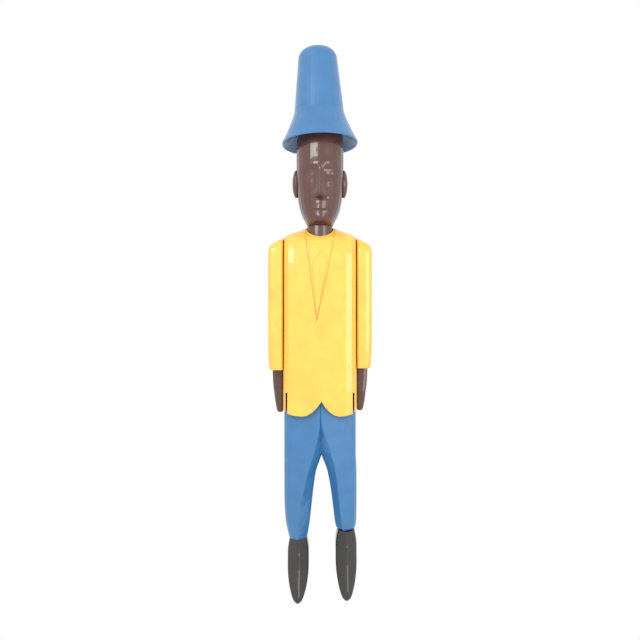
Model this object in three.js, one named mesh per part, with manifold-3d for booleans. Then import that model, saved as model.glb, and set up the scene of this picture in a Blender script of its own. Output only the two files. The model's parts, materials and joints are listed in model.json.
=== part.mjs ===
// A carved and painted wooden figure of a man in a tall hat, a long jacket and laced shoes, made to hang on a wall.
// Its blocks are carved one by one and joined with glue and hidden dowels: hat, head with neck, jacket, two sleeves,
// two hands, one block for both trouser legs, and two shoes whose toes point down. A toothed steel hanger is nailed
// into a recess in the flat back of the jacket. Millimetres, +Z up, the face looks along -Y, the figure's left is +X.
import * as THREE from "three";
import { mergeVertices } from "three/addons/utils/BufferGeometryUtils.js";
import Module from "manifold-3d";

const wasm = await Module();
wasm.setup();

// Driving dimensions. Heights run up from the side hem of the jacket, and depths from the middle of its block.
const glueGap = 0.3; // between two pieces that touch

const jacketHalfWidth = 40; // the body block, without its sleeves
const jacketFront = 29.5;
const jacketBack = 30;
const chestCrown = 2.5; // how far the middle of the chest stands out
const jacketHeight = 188; // side hem to the outer end of the shoulder slope
const shoulderRise = 12; // from there up to the collar beside the neck
const hemLobeDrop = 4.5; // the two round front panels hang this far below the side hem
const hemNotchRise = 11.5; // and part this far above it
const hemNotchSide = 1.5; // the parting is off the centre, to the figure's left
const tenonHeight = 20; // the trouser block reaches this far up inside the jacket
const skirtWall = 3.2; // jacket left round that tenon

const openingHalfWidth = 16.5; // the jacket's front opening, beside the neck
const openingDepth = 92; // from the shoulder line down to its point
const openingTipSide = -3.5;
const shirtDepth = 1.8; // the shirt lies this far behind the jacket's surface
const tieRelief = 1.1; // and the tie stands this far proud of the shirt
const tieHalfWidth = 8;
const tieKnotDrop = 15; // shoulder line to the top of the tie
const tieShoulder = 12; // top of the tie to its widest place

const sleeveWidth = 16.5;
const sleeveFront = 24;
const sleeveBack = 24;
const rightSleeveEnd = 44.5; // height of each open sleeve end
const leftSleeveEnd = 46.5;
const sleeveDrop = 9; // the sleeve's outer corner lies this far below the body's shoulder line

const handTopWidth = 12.2;
const handTipWidth = 7.4;
const handDepth = 17;
const handLength = 47;
const fingerGroove = 1.1;

const hipFront = 26.5; // the trouser block
const hipBack = 26.8;
const legOuter = 39.3;
const crotchDrop = 49;
const rightLegLength = 140; // side hem to trouser end
const leftLegLength = 132;
const cuffDepth = 19; // half of the leg's depth at the trouser end
const creaseRadius = 1.6;

const rightShoeLength = 64; // trouser end to toe, straight down
const leftShoeLength = 69;
const shoeHalfWidth = 11.6;
const ankleHalfWidth = 9.4;
const toeReach = 33; // how far the toe comes forward
const heelReach = 16.5;
const heelHeight = 15;
const heelStep = 3.6;

const neckRadius = 14.6;
const neckForward = 6; // the neck stands this far in front of the middle of the jacket
const neckSocketDepth = 12;
const neckLength = 14.5; // shoulder line to chin
const faceHeight = 89; // chin to the edge of the hat's brim
const headHalfWidth = 26;
const faceForward = 27; // neck axis to the plane of the cheeks
const headBack = 30;
const headTopRadius = 25.5;
const earHeight = 31;
const earReach = 4.6;
const earDepth = 15;
const noseReach = 8.5;

const brimRadius = 42.4;
const brimEdge = 2.6;
const flareHeight = 36;
const crownBaseRadius = 30.8;
const crownTopRadius = 22;
const crownHeight = 110;
const crownCorner = 16.5; // height of the rounded top
const hatSeatRise = 13; // brim edge to the flat seat inside the hat
const hatSeatMargin = 1.6; // room between the head's top and the wall of the hat's hollow
const hatTiltBack = 5; // degrees
const hatLean = 1.5;

const hatDowel = { radius: 4, length: 24 };
const neckDowel = { radius: 5, length: 34 };
const shoulderDowel = { radius: 3, length: 20 };
const wristDowel = { radius: 2.2, length: 18 };
const waistDowel = { radius: 4, length: 26 };
const ankleDowel = { radius: 3, length: 26 };
const waistDowelSpread = 17; // centre line to each waist dowel
const upperShoulderDowelDrop = 26; // shoulder line to each pair of shoulder dowels
const lowerShoulderDowelDrop = 104;

const hangerLength = 44;
const hangerHeight = 8;
const hangerThickness = 1;
const hangerRise = 1.5; // the toothed middle stands this far off the wood
const hangerToothCount = 7;
const hangerToothDepth = 1.6;
const hangerDrop = 30; // shoulder line to the teeth
const recessDepth = 3.4;
const recessMargin = 3;
const nailRadius = 0.8;
const nailHeadRadius = 1.9;
const nailHeadThickness = 0.7;
const nailLength = 10;
const nailInset = 4; // nail to the end of the hanger

const roundSides = 16; // sides of dowels, nails and their holes

// Shop tools: turning three.js geometry into solids that can be joined and cut, and back.
function solidOf(geometry) {
  const bare = geometry.clone();
  bare.deleteAttribute("normal");
  bare.deleteAttribute("uv");
  const merged = mergeVertices(bare, 1e-4);
  return new wasm.Manifold(
    new wasm.Mesh({
      numProp: 3,
      vertProperties: new Float32Array(merged.attributes.position.array),
      triVerts: new Uint32Array(merged.index.array),
    }),
  );
}

function geometryOf(solid) {
  const mesh = solid.getMesh();
  const geometry = new THREE.BufferGeometry();
  geometry.setAttribute("position", new THREE.BufferAttribute(mesh.vertProperties, 3));
  geometry.setIndex(new THREE.BufferAttribute(mesh.triVerts, 1));
  geometry.computeVertexNormals();
  return geometry;
}

// Numbers that change smoothly along a piece: a monotone cubic through rows of [place, value, value, ...].
function smoothRow(rows, place) {
  const last = rows.length - 1;
  if (place <= rows[0][0]) return rows[0].slice(1);
  if (place >= rows[last][0]) return rows[last].slice(1);
  const k = rows.findIndex((row) => row[0] > place) - 1;
  const span = rows[k + 1][0] - rows[k][0];
  const t = (place - rows[k][0]) / span;
  const gradient = (i, c) => (rows[i + 1][c] - rows[i][c]) / (rows[i + 1][0] - rows[i][0]);
  const tangent = (i, c) => {
    if (i === 0) return gradient(0, c);
    if (i === last) return gradient(last - 1, c);
    const before = gradient(i - 1, c);
    const after = gradient(i, c);
    return before * after > 0 ? (2 * before * after) / (before + after) : 0;
  };
  return rows[k].slice(1).map((value, index) => {
    const c = index + 1;
    const rise = rows[k + 1][c] - value;
    const m0 = tangent(k, c) * span;
    const m1 = tangent(k + 1, c) * span;
    return value + t * m0 + t * t * (3 * rise - 2 * m0 - m1) + t * t * t * (m0 + m1 - 2 * rise);
  });
}

// The places of all rows, with `between` more in each gap.
function levelsOf(rows, between) {
  const places = [];
  for (let i = 0; i + 1 < rows.length; i++) {
    for (let s = 0; s <= between; s++) {
      places.push(THREE.MathUtils.lerp(rows[i][0], rows[i + 1][0], s / (between + 1)));
    }
  }
  places.push(rows[rows.length - 1][0]);
  return places;
}

// A closed outline from corners [x, y, radius], anticlockwise, each rounded by an arc that its edges leave room for.
function roundedOutline(corners, arcSteps = 3) {
  const count = corners.length;
  const point = (i) => new THREE.Vector2(...corners[(i + count) % count]);
  const outline = [];
  for (let i = 0; i < count; i++) {
    const corner = point(i);
    const toPrevious = point(i - 1).sub(corner);
    const toNext = point(i + 1).sub(corner);
    const room = 0.48 * Math.min(toPrevious.length(), toNext.length());
    toPrevious.normalize();
    toNext.normalize();
    const half = Math.acos(THREE.MathUtils.clamp(toPrevious.dot(toNext), -1, 1)) / 2;
    const cut = Math.min(room, corners[i][2] / Math.tan(half));
    const radius = cut * Math.tan(half);
    const bisector = toPrevious.clone().add(toNext).normalize();
    const centre = corner.clone().addScaledVector(bisector, radius / Math.sin(half));
    const from = corner.clone().addScaledVector(toPrevious, cut).sub(centre);
    const sweep = Math.PI - 2 * half;
    for (let s = 0; s <= arcSteps; s++) {
      outline.push(from.clone().rotateAround(new THREE.Vector2(), (sweep * s) / arcSteps).add(centre));
    }
  }
  return outline;
}

// A solid through rings of points from bottom to top, each anticlockwise from above, with flat ends.
function loft(rings) {
  const count = rings[0].length;
  const points = rings.flat();
  const faces = [];
  for (let i = 0; i + 1 < rings.length; i++) {
    for (let j = 0; j < count; j++) {
      const a = i * count + j;
      const b = i * count + ((j + 1) % count);
      faces.push(a, b, b + count, a, b + count, a + count);
    }
  }
  const cap = (ring, start, facesUp) => {
    const middle = ring.reduce((sum, p) => sum.add(p), new THREE.Vector3()).divideScalar(count);
    points.push(middle);
    const centre = points.length - 1;
    for (let j = 0; j < count; j++) {
      const a = start + j;
      const b = start + ((j + 1) % count);
      faces.push(...(facesUp ? [a, b, centre] : [b, a, centre]));
    }
  };
  cap(rings[0], 0, false);
  cap(rings[rings.length - 1], (rings.length - 1) * count, true);
  const geometry = new THREE.BufferGeometry().setFromPoints(points);
  geometry.setIndex(faces);
  return solidOf(geometry);
}

// A loft of rounded outlines stacked by height: cornersAt(row) gives the corners for one row of numbers.
function carvedBlock(rows, cornersAt, between = 1, arcSteps = 3) {
  return loft(
    levelsOf(rows, between).map((height) =>
      roundedOutline(cornersAt(smoothRow(rows, height)), arcSteps).map((p) => new THREE.Vector3(p.x, p.y, height)),
    ),
  );
}

// A flat outline in the X-Z plane, cut straight through the depth from one y to another.
function frontCutter(outline, fromY, toY) {
  const shape = new THREE.Shape(outline.map(([x, z]) => new THREE.Vector2(x, z)));
  const geometry = new THREE.ExtrudeGeometry(shape, { depth: toY - fromY, bevelEnabled: false });
  geometry.rotateX(Math.PI / 2);
  geometry.translate(0, toY, 0);
  return solidOf(geometry);
}

function boxFrom(low, high) {
  const size = high.map((value, i) => value - low[i]);
  const geometry = new THREE.BoxGeometry(...size);
  geometry.translate(...low.map((value, i) => value + size[i] / 2));
  return solidOf(geometry);
}

// A round peg centred on a point, along a direction. With a gap it is the hole that the peg goes in.
function peg({ radius, length }, centre, direction, gap = 0) {
  const geometry = new THREE.CylinderGeometry(radius + gap, radius + gap, length + 2 * gap, roundSides);
  const turn = new THREE.Quaternion().setFromUnitVectors(new THREE.Vector3(0, 1, 0), direction);
  geometry.applyQuaternion(turn);
  geometry.translate(centre.x, centre.y, centre.z);
  return solidOf(geometry);
}

const along = { x: new THREE.Vector3(1, 0, 0), y: new THREE.Vector3(0, 1, 0), z: new THREE.Vector3(0, 0, 1) };

// Places that several pieces share.
const neckY = -neckForward;
const neckFloor = jacketHeight - neckSocketDepth;
const chinHeight = jacketHeight + neckLength;
const brimHeight = chinHeight + faceHeight;
const shoulderTop = jacketHeight + shoulderRise;
const tenonHalfWidth = jacketHalfWidth - skirtWall;
const sides = {
  right: { sign: -1, sleeveEnd: rightSleeveEnd, legLength: rightLegLength, shoeLength: rightShoeLength },
  left: { sign: 1, sleeveEnd: leftSleeveEnd, legLength: leftLegLength, shoeLength: leftShoeLength },
};

// The hat sits on a plane tilted back and a little to one side; its own axis stands square on that plane.
const hatFrame = new THREE.Matrix4()
  .makeTranslation(0, neckY, brimHeight)
  .multiply(new THREE.Matrix4().makeRotationX(-THREE.MathUtils.degToRad(hatTiltBack)))
  .multiply(new THREE.Matrix4().makeRotationY(-THREE.MathUtils.degToRad(hatLean)));
const hatAxis = new THREE.Vector3(0, 0, 1).transformDirection(hatFrame);
const inHat = (height) => new THREE.Vector3(0, 0, height).applyMatrix4(hatFrame);

const dowels = {
  hat_dowel: [hatDowel, inHat(hatSeatRise), hatAxis],
  neck_dowel: [neckDowel, new THREE.Vector3(0, neckY, neckFloor), along.z],
};
for (const [name, side] of Object.entries(sides)) {
  const joinX = side.sign * (jacketHalfWidth + glueGap / 2);
  dowels[`${name}_upper_shoulder_dowel`] = [
    shoulderDowel,
    new THREE.Vector3(joinX, 0, jacketHeight - upperShoulderDowelDrop),
    along.x,
  ];
  dowels[`${name}_lower_shoulder_dowel`] = [
    shoulderDowel,
    new THREE.Vector3(joinX, 0, jacketHeight - lowerShoulderDowelDrop),
    along.x,
  ];
  side.handX = side.sign * (jacketHalfWidth + glueGap + handTopWidth / 2);
  dowels[`${name}_wrist_dowel`] = [wristDowel, new THREE.Vector3(side.handX, 0, side.sleeveEnd), along.z];
  dowels[`${name}_waist_dowel`] = [
    waistDowel,
    new THREE.Vector3(side.sign * waistDowelSpread, 0, tenonHeight),
    along.z,
  ];
}

// Both trouser legs: [drop below the hem, inner x, crease x, crease y, outer x, back y], from the tenon down.
// The inner edges cross the centre line above the crotch, so that the two legs join into the hips there.
function legRows(side) {
  const end = side.legLength;
  const split = crotchDrop;
  const below = (share) => THREE.MathUtils.lerp(split, end, share);
  return side.sign < 0
    ? [
        [-tenonHeight, -6, 0, hipFront, legOuter, hipBack],
        [split * 0.3, -6, 0.4, hipFront, legOuter, hipBack],
        [split * 0.8, -5, 5, hipFront - 0.6, legOuter, hipBack - 0.5],
        [split, -1.6, 8, hipFront - 1, legOuter, hipBack - 1],
        [below(0.07), 0.6, 10, hipFront - 1.4, legOuter, hipBack - 1.6],
        [below(0.2), 4.6, 13.6, hipFront - 2.2, legOuter, hipBack - 2.6],
        [below(0.5), 8.2, 20, hipFront - 4, legOuter, hipBack - 4.6],
        [below(0.8), 11, 24.6, cuffDepth + 1.6, legOuter - 1.6, cuffDepth + 0.8],
        [end, 14, 24.6, cuffDepth - 0.8, legOuter - 5.6, cuffDepth - 2],
      ]
    : [
        [-tenonHeight, -6, 0, hipFront, legOuter, hipBack],
        [split * 0.3, -6, 2, hipFront, legOuter, hipBack],
        [split * 0.8, -5, 10.4, hipFront - 0.6, legOuter, hipBack - 0.5],
        [split, 1.6, 13, hipFront - 1, legOuter, hipBack - 1],
        [below(0.07), 4, 15, hipFront - 1.4, legOuter + 0.4, hipBack - 1.6],
        [below(0.2), 8, 17.2, hipFront - 2.2, legOuter + 0.8, hipBack - 2.6],
        [below(0.5), 12.4, 20.4, hipFront - 4, legOuter + 1, hipBack - 4.6],
        [below(0.86), 16, 23.4, cuffDepth + 1, legOuter + 0.8, cuffDepth],
        [below(0.96), 17.6, 24.4, cuffDepth - 1, legOuter - 0.4, cuffDepth - 2],
        [end, 21.4, 26, cuffDepth - 5, legOuter - 3.4, cuffDepth - 6],
      ];
}

function leg(side) {
  const rows = legRows(side)
    .map(([drop, ...rest]) => [-drop, ...rest])
    .reverse();
  return carvedBlock(rows, ([inner, creaseX, creaseY, outer, back]) => {
    const front = creaseY - 7;
    const corners = [
      [outer, -front, 11],
      [outer, back, 9],
      [inner, back, 7],
      [inner, -front + 4, 6],
      [creaseX, -creaseY, creaseRadius],
    ];
    const placed = corners.map(([x, y, radius]) => [side.sign * x, y, radius]);
    return side.sign > 0 ? placed : placed.reverse();
  });
}

// The middle of a leg's end, where its shoe is pegged on.
function ankleOf(side) {
  const [inner, , , outer] = legRows(side).at(-1).slice(1);
  return new THREE.Vector3((side.sign * (inner + outer)) / 2, 0, -side.legLength);
}

for (const [name, side] of Object.entries(sides)) {
  side.ankle = ankleOf(side);
  dowels[`${name}_ankle_dowel`] = [ankleDowel, side.ankle, along.z];
}

const pegOf = (name) => peg(...dowels[name]);
const holeFor = (name) => peg(...dowels[name], glueGap);

// The hat: a turned bell with a rounded top. Its hollow is a cone up to a flat seat for the head.
function hatProfile() {
  const crownLine = (h) => THREE.MathUtils.lerp(crownBaseRadius, crownTopRadius, h / (crownHeight - crownCorner));
  const flare = (h) => (brimRadius - crownBaseRadius) * Math.max(0, 1 - h / flareHeight) ** 1.25;
  const seatRadius = headTopRadius + hatSeatMargin;
  const profile = [
    [0, hatSeatRise],
    [seatRadius, hatSeatRise],
    [brimRadius - brimEdge, 0.8],
    [brimRadius - brimEdge / 2, 0],
  ];
  const flareSteps = 7;
  for (let i = 0; i <= flareSteps; i++) {
    const h = brimEdge / 2 + ((flareHeight - brimEdge / 2) * i) / flareSteps;
    profile.push([crownLine(h) + flare(h), h]);
  }
  const topSteps = 6;
  for (let i = 0; i <= topSteps; i++) {
    const turn = (i / topSteps) * (Math.PI / 2);
    const power = 2 / 2.6;
    profile.push([
      i === topSteps ? 0 : crownTopRadius * Math.cos(turn) ** power,
      crownHeight - crownCorner + crownCorner * Math.sin(turn) ** power,
    ]);
  }
  return profile.map(([radius, height]) => new THREE.Vector2(radius, height));
}

function hat() {
  const geometry = new THREE.LatheGeometry(hatProfile(), 36);
  geometry.rotateX(Math.PI / 2);
  geometry.applyMatrix4(hatFrame);
  return solidOf(geometry).subtract(holeFor("hat_dowel"));
}

// The face is a calm, even one on plain proportions: eyes half way up the whole head, and the nose and the mouth
// in the lower half. Each feature is a smooth bump [x, height, half-width, half-height, depth] on the egg of the head.
const wholeHead = faceHeight * 1.22;
const eyeHeight = wholeHead * 0.5;
const noseFoot = wholeHead * 0.27;
const mouthHeight = wholeHead * 0.18;
const browHeight = wholeHead * 0.57;
const eyeSide = headHalfWidth * 0.4;

function faceRelief(x, h) {
  const bump = (cx, ch, wide, tall, depth) =>
    depth * Math.exp(-(((x - cx) / wide) ** 2) - ((h - ch) / tall) ** 2);
  const ridgeShare = THREE.MathUtils.clamp((eyeHeight + 3 - h) / (eyeHeight + 3 - noseFoot), 0, 1);
  const inNose = h > noseFoot - 4 && h < eyeHeight + 8;
  const ridge = inNose
    ? noseReach *
      (0.25 + 0.75 * ridgeShare) *
      Math.exp(-((x / (2.6 + 2.4 * ridgeShare)) ** 2)) *
      THREE.MathUtils.smoothstep(h, noseFoot - 4, noseFoot + 2) *
      (1 - THREE.MathUtils.smoothstep(h, eyeHeight + 1, eyeHeight + 8))
    : 0;
  return (
    ridge +
    bump(0, browHeight + 2, headHalfWidth * 0.75, 5, 1.6) +
    bump(eyeSide, eyeHeight, 6.5, 5, -3) +
    bump(-eyeSide, eyeHeight, 6.5, 5, -3) +
    bump(eyeSide, eyeHeight, 4, 2.6, 1.6) +
    bump(-eyeSide, eyeHeight, 4, 2.6, 1.6) +
    bump(5, noseFoot + 2, 3, 3, 2.4) +
    bump(-5, noseFoot + 2, 3, 3, 2.4) +
    bump(0, mouthHeight + 2.6, 8.5, 2.2, 2.6) +
    bump(0, mouthHeight - 2.8, 7.5, 2.4, 2.6) +
    bump(0, mouthHeight * 0.3, 7, 5, 1.8)
  );
}

// Half-width, front and back of the head at a height above the chin. Below the chin it is the neck.
const headRows = [
  [neckFloor + glueGap - chinHeight, neckRadius, neckRadius, neckRadius],
  [-1.5, neckRadius - 0.6, neckRadius - 0.6, neckRadius - 0.4],
  [-0.2, neckRadius - 0.2, faceForward - 9, neckRadius],
  [2.5, neckRadius + 1.2, faceForward - 3, neckRadius + 1],
  [9, headHalfWidth * 0.74, faceForward - 0.8, neckRadius + 4],
  [19, headHalfWidth * 0.87, faceForward, neckRadius + 9],
  [34, headHalfWidth * 0.96, faceForward, headBack - 3],
  [54, headHalfWidth, faceForward, headBack],
  [faceHeight - 10, headHalfWidth, faceForward - 0.5, headBack],
  [faceHeight + 2, headTopRadius, headTopRadius, headBack - 3],
  [faceHeight + hatSeatRise + 12, headTopRadius - 2, headTopRadius - 2, headTopRadius - 2],
];

function headRing(height) {
  const [halfWidth, front, back] = smoothRow(headRows, height);
  const around = 40;
  const ring = [];
  for (let i = 0; i < around; i++) {
    const share = i / around;
    const turn = 2 * Math.PI * (share + 0.06 * Math.sin(4 * Math.PI * share) * (Math.cos(2 * Math.PI * share) > 0 ? -1 : 0));
    const frontness = Math.max(0, Math.cos(turn));
    const x = halfWidth * Math.sin(turn);
    const reach = Math.cos(turn) > 0 ? front : back;
    const relief = height > 1 ? faceRelief(x, height) * Math.min(1, 2.2 * frontness) : 0;
    ring.push(new THREE.Vector3(x, neckY - reach * Math.cos(turn) - relief, chinHeight + height));
  }
  return ring;
}

function head() {
  const levels = levelsOf(headRows.slice(0, 3), 0);
  const faceSteps = 34;
  for (let i = 1; i <= faceSteps; i++) levels.push(THREE.MathUtils.lerp(-0.2, faceHeight, i / faceSteps));
  levels.push(faceHeight + 6, faceHeight + hatSeatRise, faceHeight + hatSeatRise + 12);
  const ears = Object.values(sides).map((side) => {
    const ear = new THREE.SphereGeometry(1, 14, 10);
    ear.scale(earReach, earDepth / 2, earHeight / 2);
    ear.rotateX(THREE.MathUtils.degToRad(6));
    ear.translate(side.sign * headHalfWidth, neckY + 1, chinHeight + (noseFoot + browHeight) / 2);
    return solidOf(ear);
  });
  const aboveSeat = new THREE.BoxGeometry(120, 120, 60);
  aboveSeat.translate(0, 0, hatSeatRise - glueGap + 30);
  aboveSeat.applyMatrix4(hatFrame);
  return ears
    .reduce((made, ear) => made.add(ear), loft(levels.map(headRing)))
    .subtract(solidOf(aboveSeat))
    .subtract(holeFor("hat_dowel"))
    .subtract(holeFor("neck_dowel"));
}

// The jacket's body block. inset moves its front surface back, for the shirt and the tie in the front opening.
function jacketBody(inset) {
  const w = jacketHalfWidth;
  const rows = [
    [-hemLobeDrop, w, jacketFront, jacketBack],
    [jacketHeight * 0.45, w, jacketFront - 0.6, jacketBack],
    [jacketHeight - 38, w, jacketFront, jacketBack],
    [jacketHeight - 18, w, jacketFront - 1, jacketBack],
    [jacketHeight - 8, w, jacketFront - 3.6, jacketBack - 1.5],
    [jacketHeight, w, jacketFront - 8, jacketBack - 5],
    [jacketHeight + shoulderRise * 0.4, w - 6, jacketFront - 13, jacketBack - 9],
    [jacketHeight + shoulderRise * 0.8, w - 18, jacketFront - 20, jacketBack - 13],
    [shoulderTop, w - 22, jacketFront - 25, jacketBack - 15],
  ];
  return carvedBlock(rows, ([halfWidth, front, back]) => [
    [halfWidth, -front + inset, 13],
    [halfWidth, back, 8],
    [-halfWidth, back, 8],
    [-halfWidth, -front + inset, 13],
    [0, -front - chestCrown + inset, 70],
  ]);
}

// The front hem hangs in two round lobes that part at a notch.
function hemOutline() {
  const low = -hemLobeDrop;
  const outline = [];
  const steps = 8;
  const lobes = [
    [-jacketHalfWidth, hemNotchSide],
    [hemNotchSide, jacketHalfWidth],
  ];
  lobes.forEach(([from, to], lobe) => {
    for (let i = 0; i <= steps; i++) {
      const share = i / steps;
      const toNotch = lobe === 0 ? share : 1 - share;
      const rise = toNotch > 0.5 ? (hemNotchRise - low) * (2 * toNotch - 1) ** 2 : -low * (1 - 2 * toNotch) ** 2;
      outline.push([THREE.MathUtils.lerp(from, to, share), low + rise]);
    }
  });
  const out = jacketHalfWidth + 5;
  return [[-out, 0], ...outline, [out, 0], [out, low - 10], [-out, low - 10]];
}

const trouserTop = tenonHeight;

function jacket() {
  const frontFace = -(jacketFront + chestCrown + 5);
  const openingTop = shoulderTop + 5;
  const opening = frontCutter(
    [
      [-openingHalfWidth, openingTop],
      [-openingHalfWidth, jacketHeight + 4],
      [-openingHalfWidth + 5, jacketHeight - openingDepth * 0.38],
      [openingTipSide, jacketHeight - openingDepth],
      [openingHalfWidth - 7, jacketHeight - openingDepth * 0.38],
      [openingHalfWidth, jacketHeight + 4],
      [openingHalfWidth, openingTop],
    ],
    frontFace,
    neckY,
  );
  const tie = frontCutter(
    [
      [openingTipSide + 5, jacketHeight - tieKnotDrop],
      [openingTipSide - tieHalfWidth + 3.4, jacketHeight - tieKnotDrop - tieShoulder - 4],
      [openingTipSide + 0.2, jacketHeight - openingDepth + 4],
      [openingTipSide + tieHalfWidth + 3, jacketHeight - tieKnotDrop - tieShoulder],
    ],
    frontFace,
    0,
  );
  const neckHole = new THREE.CylinderGeometry(neckRadius + glueGap, neckRadius + glueGap, 60, 40);
  neckHole.rotateX(Math.PI / 2);
  neckHole.translate(0, neckY, neckFloor + 30);
  const underSkirt = -hipFront - glueGap;
  const wide = jacketHalfWidth + 5;
  const hangerZ = jacketHeight - hangerDrop;
  const recessHalf = hangerLength / 2 + recessMargin;
  const outer = jacketBody(0);
  const shirtCut = opening.subtract(jacketBody(shirtDepth));
  const tieWood = tie.intersect(jacketBody(shirtDepth - tieRelief)).subtract(jacketBody(shirtDepth + 1));
  const cuts = [
    solidOf(neckHole),
    frontCutter(hemOutline(), frontFace, underSkirt + 1),
    boxFrom([-wide, underSkirt, -hemLobeDrop - 5], [wide, jacketBack + 5, 0]),
    boxFrom(
      [-tenonHalfWidth - glueGap, underSkirt, -hemLobeDrop - 5],
      [tenonHalfWidth + glueGap, hipBack + glueGap, trouserTop + glueGap],
    ),
    boxFrom(
      [-recessHalf, jacketBack - recessDepth, hangerZ - hangerHeight - recessMargin],
      [recessHalf, jacketBack + 5, hangerZ + recessMargin],
    ),
    ...["right", "left"].flatMap((name) => [
      holeFor(`${name}_upper_shoulder_dowel`),
      holeFor(`${name}_lower_shoulder_dowel`),
      holeFor(`${name}_waist_dowel`),
    ]),
    holeFor("neck_dowel"),
    ...["right", "left"].map((name) => nailHole(sides[name])),
  ];
  return cuts.reduce((made, cut) => made.subtract(cut), outer.subtract(shirtCut).add(tieWood));
}

// One sleeve with its shoulder. Its flat inner side is glued to the jacket's side.
function sleeve(side, name) {
  const inner = jacketHalfWidth + glueGap;
  const outer = jacketHalfWidth + sleeveWidth;
  const corner = jacketHeight - sleeveDrop;
  const rows = [
    [side.sleeveEnd, outer - 1.8, sleeveFront - 2, sleeveBack - 2],
    [side.sleeveEnd + 4, outer - 0.8, sleeveFront - 1, sleeveBack - 1],
    [side.sleeveEnd + 30, outer, sleeveFront, sleeveBack],
    [corner - 50, outer, sleeveFront + 1, sleeveBack],
    [corner - 6, outer, sleeveFront, sleeveBack - 1],
    [corner, outer - 1.4, sleeveFront - 2, sleeveBack - 3],
    [corner + sleeveDrop * 0.45, outer - 7, sleeveFront - 4, sleeveBack - 5],
    [corner + sleeveDrop * 0.9, inner + 1, sleeveFront - 7, sleeveBack - 7],
  ];
  const body = carvedBlock(rows, ([out, front, back]) => {
    const corners = [
      [inner, -front, 3],
      [out, -front, 7],
      [out, back, 6],
      [inner, back, 3],
    ].map(([x, y, radius]) => [side.sign * x, y, radius]);
    return side.sign > 0 ? corners : corners.reverse();
  });
  return body
    .subtract(holeFor(`${name}_upper_shoulder_dowel`))
    .subtract(holeFor(`${name}_lower_shoulder_dowel`))
    .subtract(holeFor(`${name}_wrist_dowel`));
}

// A hand hanging straight down with its fingers together, marked off by three grooves on the outer side.
function hand(side, name) {
  const inner = jacketHalfWidth + glueGap;
  const top = side.sleeveEnd - glueGap;
  const rows = [
    [top - handLength, inner + 1.6, inner + handTipWidth - 1.6, handDepth / 2 - 4],
    [top - handLength + 2.5, inner, inner + handTipWidth, handDepth / 2 - 2],
    [top - handLength * 0.55, inner, inner + handTopWidth - 2, handDepth / 2],
    [top - handLength * 0.3, inner, inner + handTopWidth - 0.6, handDepth / 2 - 0.8],
    [top, inner, inner + handTopWidth, handDepth / 2 - 1.4],
  ];
  const body = carvedBlock(rows, ([from, to, half]) => {
    const corners = [
      [from, -half, 2.4],
      [to, -half, 4],
      [to, half, 4],
      [from, half, 2.4],
    ].map(([x, y, radius]) => [side.sign * x, y, radius]);
    return side.sign > 0 ? corners : corners.reverse();
  });
  const grooves = [-0.25, 0, 0.25].map((share) => {
    const groove = new THREE.BoxGeometry(fingerGroove * 2, fingerGroove, handLength * 0.5);
    const lean = Math.atan((handTopWidth - handTipWidth) / (handLength * 0.9));
    groove.rotateY(side.sign * lean);
    groove.translate(side.sign * (inner + handTipWidth + 0.9), share * handDepth, top - handLength * 0.8);
    return solidOf(groove);
  });
  return grooves.reduce((made, groove) => made.subtract(groove), body).subtract(holeFor(`${name}_wrist_dowel`));
}

function trousers() {
  const joined = leg(sides.right).add(leg(sides.left));
  const out = jacketHalfWidth + 10;
  const sideCuts = [-1, 1].map((sign) =>
    boxFrom(
      [Math.min(sign * tenonHalfWidth, sign * out), -out, -glueGap],
      [Math.max(sign * tenonHalfWidth, sign * out), out, trouserTop + 5],
    ),
  );
  const holes = ["right_waist_dowel", "left_waist_dowel", "right_ankle_dowel", "left_ankle_dowel"].map(holeFor);
  return [...sideCuts, ...holes].reduce((made, cut) => made.subtract(cut), joined);
}

// A laced shoe that points its toe down and forward: a ridge down the instep, a flat sole behind, and a heel.
function shoe(side, name) {
  const { x, z } = side.ankle;
  const top = z - glueGap;
  const drop = side.shoeLength;
  const toe = top - drop + glueGap;
  const rows = [
    [toe, 2.2, toeReach - 1, -toeReach + 5],
    [toe + 2, 4.6, toeReach, -toeReach + 8],
    [toe + drop * 0.13, 7.4, toeReach - 1.6, -toeReach + 13],
    [toe + drop * 0.3, 10.2, toeReach - 6, -toeReach + 21],
    [toe + drop * 0.5, shoeHalfWidth, toeReach - 12, 1],
    [top - heelHeight - 1.5, shoeHalfWidth, toeReach - 15.5, heelReach - heelStep - 3],
    [top - heelHeight, shoeHalfWidth, toeReach - 16, heelReach],
    [top - heelHeight + 5, shoeHalfWidth - 0.4, toeReach - 17, heelReach],
    [top - 2, ankleHalfWidth + 0.4, toeReach - 18, heelReach - 4],
    [top, ankleHalfWidth, toeReach - 18.2, heelReach - 4.5],
  ];
  const body = carvedBlock(rows, ([half, front, back]) => [
    [x + half, -front + half * 0.75, 4],
    [x + half, back, 2],
    [x - half, back, 2],
    [x - half, -front + half * 0.75, 4],
    [x, -front - 0.8, 3],
  ]);
  return body.subtract(holeFor(`${name}_ankle_dowel`));
}

// The hanger: a steel strip whose ends lie on the wood and whose raised middle has teeth for a wall hook.
const hangerZ = jacketHeight - hangerDrop;
const hangerFloorY = jacketBack - recessDepth + glueGap;

function nailPlace(side) {
  return new THREE.Vector3(side.sign * (hangerLength / 2 - nailInset), 0, hangerZ - hangerHeight / 2);
}

function nailShank(side, gap) {
  const place = nailPlace(side);
  const headY = hangerFloorY + hangerThickness + glueGap;
  place.y = headY - nailLength / 2;
  return peg({ radius: nailRadius, length: nailLength }, place, along.y, gap);
}

function nailHole(side) {
  return nailShank(side, glueGap);
}

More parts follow.
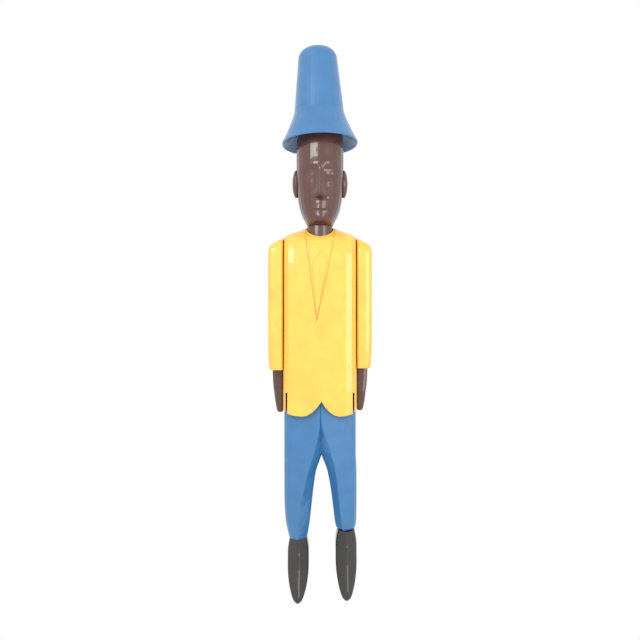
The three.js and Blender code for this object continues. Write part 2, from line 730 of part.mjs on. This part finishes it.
function hanger() {
  const half = hangerLength / 2;
  const flatEnd = nailInset * 2;
  const floor = hangerFloorY;
  const raised = floor + hangerRise;
  const lower = [
    [-half, floor],
    [-half + flatEnd, floor],
    [-half + flatEnd + hangerRise, raised],
    [half - flatEnd - hangerRise, raised],
    [half - flatEnd, floor],
    [half, floor],
  ];
  const upper = lower.map(([x, y]) => [x, y + hangerThickness]).reverse();
  const shape = new THREE.Shape([...lower, ...upper].map(([x, y]) => new THREE.Vector2(x, y)));
  const strip = new THREE.ExtrudeGeometry(shape, { depth: hangerHeight, bevelEnabled: false });
  strip.translate(0, 0, hangerZ - hangerHeight);
  const toothedLength = hangerLength - 2 * (flatEnd + hangerRise);
  const pitch = toothedLength / hangerToothCount;
  let made = solidOf(strip);
  for (let i = 0; i < hangerToothCount; i++) {
    const x = -toothedLength / 2 + pitch * (i + 0.5);
    const gullet = frontCutter(
      [
        [x - pitch * 0.42, hangerZ - hangerHeight - 1],
        [x + pitch * 0.42, hangerZ - hangerHeight - 1],
        [x, hangerZ - hangerHeight + hangerToothDepth],
      ],
      floor - 1,
      jacketBack + 1,
    );
    made = made.subtract(gullet);
  }
  return Object.values(sides).reduce((kept, side) => kept.subtract(nailShank(side, glueGap)), made);
}

function hangerNail(side) {
  const place = nailPlace(side);
  place.y = hangerFloorY + hangerThickness + glueGap + nailHeadThickness / 2;
  const nailHead = peg({ radius: nailHeadRadius, length: nailHeadThickness }, place, along.y);
  return nailShank(side, 0).add(nailHead);
}

// Finishes, one for each colour of paint, bare wood and steel.
const paint = (color, roughness) => new THREE.MeshStandardMaterial({ color, roughness, metalness: 0 });
const finishes = {
  blue: paint(0x2f6fa8, 0.35),
  yellow: paint(0xf4bd3f, 0.35),
  brown: paint(0x4a2622, 0.32),
  black: paint(0x24211f, 0.35),
  bareWood: paint(0xc49a63, 0.8),
  steel: new THREE.MeshStandardMaterial({ color: 0x9a9a96, roughness: 0.4, metalness: 1 }),
};

const figure = new THREE.Group();

function place(name, solid, finish) {
  const mesh = new THREE.Mesh(geometryOf(solid), finish);
  mesh.name = name;
  figure.add(mesh);
}

place("hat", hat(), finishes.blue);
place("head", head(), finishes.brown);
place("jacket", jacket(), finishes.yellow);
place("trousers", trousers(), finishes.blue);
for (const [name, side] of Object.entries(sides)) {
  place(`${name}_sleeve`, sleeve(side, name), finishes.yellow);
  place(`${name}_hand`, hand(side, name), finishes.brown);
  place(`${name}_shoe`, shoe(side, name), finishes.black);
  place(`${name}_hanger_nail`, hangerNail(side), finishes.steel);
}
for (const name of Object.keys(dowels)) place(name, pegOf(name), finishes.bareWood);
place("wall_hanger", hanger(), finishes.steel);

// The origin is where a wall hook takes the weight: under the middle of the hanger's teeth, on its outer face.
const part = new THREE.Group();
part.add(figure);
figure.position.set(0, -(hangerFloorY + hangerRise + hangerThickness), -(hangerZ - hangerHeight + hangerToothDepth));

export default part;
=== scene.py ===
# %% [markdown]
# # A carved and painted wooden figure
# A man in a tall hat, a jacket and pointed shoes, seen from the front as in the photograph. Every block keeps the
# shape of its CAD node. This script gives each node its paint, and sets up the light and the camera.

# %%
import json
import math

import bpy
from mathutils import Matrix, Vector


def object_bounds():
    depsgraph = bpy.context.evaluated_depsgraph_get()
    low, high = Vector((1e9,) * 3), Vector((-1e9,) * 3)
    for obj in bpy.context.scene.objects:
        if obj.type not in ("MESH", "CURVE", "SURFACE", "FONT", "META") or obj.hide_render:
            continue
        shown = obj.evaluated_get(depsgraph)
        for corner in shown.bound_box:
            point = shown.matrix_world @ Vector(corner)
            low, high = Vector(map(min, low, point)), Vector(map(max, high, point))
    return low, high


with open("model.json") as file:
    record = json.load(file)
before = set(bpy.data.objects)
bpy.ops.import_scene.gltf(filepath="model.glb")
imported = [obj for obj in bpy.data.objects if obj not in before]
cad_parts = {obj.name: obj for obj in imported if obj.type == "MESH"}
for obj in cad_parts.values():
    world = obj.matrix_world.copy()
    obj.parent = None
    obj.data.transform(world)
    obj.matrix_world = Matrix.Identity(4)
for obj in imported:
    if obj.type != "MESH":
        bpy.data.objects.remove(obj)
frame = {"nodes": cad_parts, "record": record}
bounds_at_load = [list(corner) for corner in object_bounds()]
low, high = (Vector(corner) for corner in bounds_at_load)
middle = (low + high) / 2
print(f"{len(frame['nodes'])} nodes, {high.z - low.z:.3f} m tall")

# %% [markdown]
# ## Materials
# Paint is one colour that noise makes slightly darker and lighter, under a thin gloss coat. Steel is a plain metal.

# %%
PAINTS = {  # slot: (linear colour, roughness, gloss coat)
    "blue_paint": ((0.035, 0.16, 0.36), 0.38, 0.5),
    "yellow_paint": ((0.90, 0.50, 0.07), 0.36, 0.5),
    "brown_paint": ((0.085, 0.028, 0.020), 0.30, 0.6),
    "black_paint": ((0.018, 0.016, 0.015), 0.32, 0.5),
    "bare_wood": ((0.55, 0.32, 0.13), 0.80, 0.0),
}
PAINT_NOISE_SCALE = 60  # noise cells to a metre
PAINT_SHADES = (0.82, 1.1)  # the darkest and the lightest paint, as shares of its colour
STEEL_COLOUR = (0.32, 0.32, 0.31)
STEEL_ROUGHNESS = 0.40


def new_material(name):
    """An empty material, with its node tree and its Principled shader."""
    material = bpy.data.materials.new(name)
    material.use_nodes = True
    return material, material.node_tree, material.node_tree.nodes["Principled BSDF"]


def paint(slot):
    """Glossy paint whose colour is a ramp between its two shades, driven by noise on Object coordinates."""
    colour, roughness, coat = PAINTS[slot]
    material, tree, shader = new_material(slot)
    shader.inputs["Roughness"].default_value = roughness
    shader.inputs["Coat Weight"].default_value = coat
    place = tree.nodes.new("ShaderNodeTexCoord")
    noise = tree.nodes.new("ShaderNodeTexNoise")
    noise.inputs["Scale"].default_value = PAINT_NOISE_SCALE
    ramp = tree.nodes.new("ShaderNodeValToRGB")
    for stop, shade in zip(ramp.color_ramp.elements, PAINT_SHADES):
        stop.color = (*[min(1, shade * channel) for channel in colour], 1)
    tree.links.new(place.outputs["Object"], noise.inputs["Vector"])
    tree.links.new(noise.outputs["Fac"], ramp.inputs["Fac"])
    tree.links.new(ramp.outputs["Color"], shader.inputs["Base Color"])
    return material


def steel():
    """Bare metal for the hanger and its nails."""
    material, _, shader = new_material("steel")
    shader.inputs["Base Color"].default_value = (*STEEL_COLOUR, 1)
    shader.inputs["Roughness"].default_value = STEEL_ROUGHNESS
    shader.inputs["Metallic"].default_value = 1
    return material


materials = {slot: paint(slot) for slot in PAINTS}
materials["steel"] = steel()
for subpart in frame["record"]["subparts"]:
    slots = frame["nodes"][subpart["node"]].data.materials
    slots.clear()
    slots.append(materials[subpart["material_slot"]])

# %% [markdown]
# ## Camera
# It looks level at the middle of the figure from close by, so that the hat's brim is seen from below.

# %%
CAMERA_DISTANCE = 0.80  # metres in front of the foremost point
LENS_MM = 43

camera_data = bpy.data.cameras.new("camera")
camera_data.lens = LENS_MM
camera = bpy.data.objects.new("camera", camera_data)
camera.location = (middle.x, low.y - CAMERA_DISTANCE, middle.z)
camera.rotation_euler = (math.radians(90), 0, 0)
bpy.context.scene.collection.objects.link(camera)
bpy.context.scene.camera = camera

# %% [markdown]
# ## Light
# A white surround and two soft square lights, each turned towards the middle of the figure.

# %%
LIGHTS = {"key": ((-0.5, -0.9, 0.5), 6), "fill": ((0.6, -0.7, 0.1), 3)}  # name: (metres from the middle, watts)
LIGHT_SIDE = 0.5  # metres
WHITE = (1, 1, 1, 1)

world = bpy.data.worlds.new("surround")
world.use_nodes = True
world.node_tree.nodes["Background"].inputs["Color"].default_value = WHITE
bpy.context.scene.world = world
bpy.context.scene.view_settings.view_transform = "Standard"

for name, (offset, watts) in LIGHTS.items():
    light = bpy.data.objects.new(name, bpy.data.lights.new(name, "AREA"))
    light.data.energy = watts
    light.data.size = LIGHT_SIDE
    light.location = middle + Vector(offset)
    light.rotation_euler = (-Vector(offset)).to_track_quat("-Z", "Y").to_euler()
    bpy.context.scene.collection.objects.link(light)
